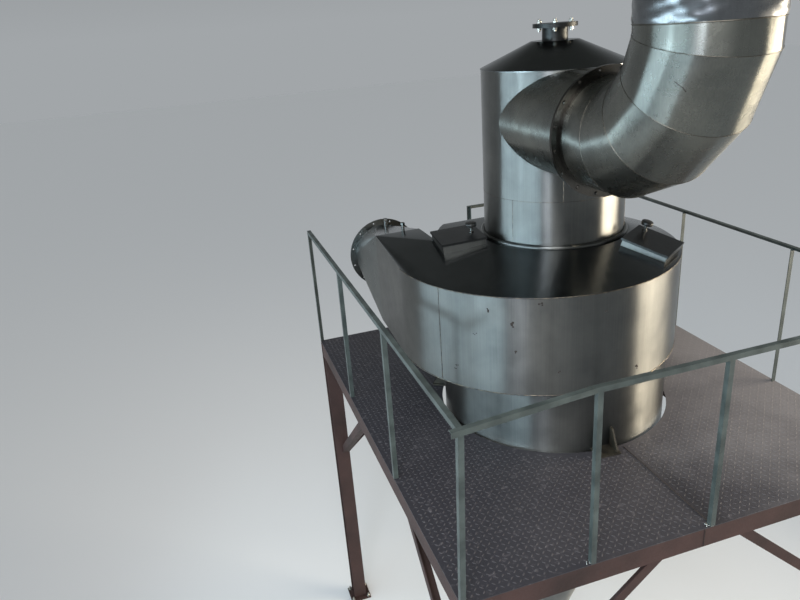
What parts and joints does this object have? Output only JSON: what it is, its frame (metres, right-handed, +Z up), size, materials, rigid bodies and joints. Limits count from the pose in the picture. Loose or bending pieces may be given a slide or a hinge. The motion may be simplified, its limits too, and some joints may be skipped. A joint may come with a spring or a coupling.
{
  "type": "cyclone separator",
  "caption": "Stainless cyclone with a scroll head, outlet drum and mitred elbow, hung in a railed steel service platform on columns.",
  "frame": {"origin": "on the floor, in the middle of the outline seen from above; the vertical axis of the cyclone stands 79 mm behind it and 60 mm to its left", "axes": "+X along the platform front to the right, +Y to the back, towards the gas inlet flange, +Z up"},
  "size_m": [3.06, 3.578, 5.75],
  "materials": {
    "stainless": "cold-rolled bright sheet with soft reflections",
    "stainless_mirror": "mirror-bright sheet",
    "lug_paint": "dark brushed paint",
    "gasket": "matt brown sheet gasket",
    "checker_plate": "worn grey primer on checker plate",
    "red_oxide": "matt red-brown primer",
    "rail_paint": "satin grey-green paint"
  },
  "bodies": {
    "root": {"scroll_wall_inlet": "stainless", "scroll_wall_front": "stainless", "scroll_wall_back": "stainless", "scroll_deck": "stainless_mirror", "scroll_floor": "stainless", "inlet_transition": "stainless", "inlet_flange": "stainless", "barrel": "stainless", "cone_upper": "stainless", "cone_lower": "stainless", "dust_flange": "stainless", "vortex_tube": "stainless", "outlet_drum": "stainless", "drum_foot_ring": "stainless", "drum_roof": "stainless_mirror", "roof_flange": "stainless", "roof_cover": "stainless", "outlet_branch": "stainless", "branch_flange": "stainless", "branch_gasket": "gasket", "elbow_flange": "stainless", "elbow_stub": "stainless", "elbow_gore_1": "stainless", "elbow_gore_2": "stainless", "elbow_gore_3": "stainless", "elbow_end": "stainless", "riser_flange": "stainless", "hatch_frame_left": "stainless", "hatch_frame_right": "stainless", "hatch_lid_left": "stainless", "hatch_lid_right": "stainless", "lug_front": "lug_paint", "lug_right": "lug_paint", "lug_left": "lug_paint", "plate_left": "checker_plate", "plate_right": "checker_plate", "beam_front": "red_oxide", "beam_back": "red_oxide", "beam_left": "red_oxide", "beam_right": "red_oxide", "trimmer_frame": "red_oxide", "leg_front_left": "red_oxide", "leg_front_right": "red_oxide", "leg_back_left": "red_oxide", "leg_back_right": "red_oxide", "rail_front": "rail_paint", "rail_left": "rail_paint", "rail_right": "rail_paint", "rail_back": "rail_paint"}
  },
  "joints": []
}
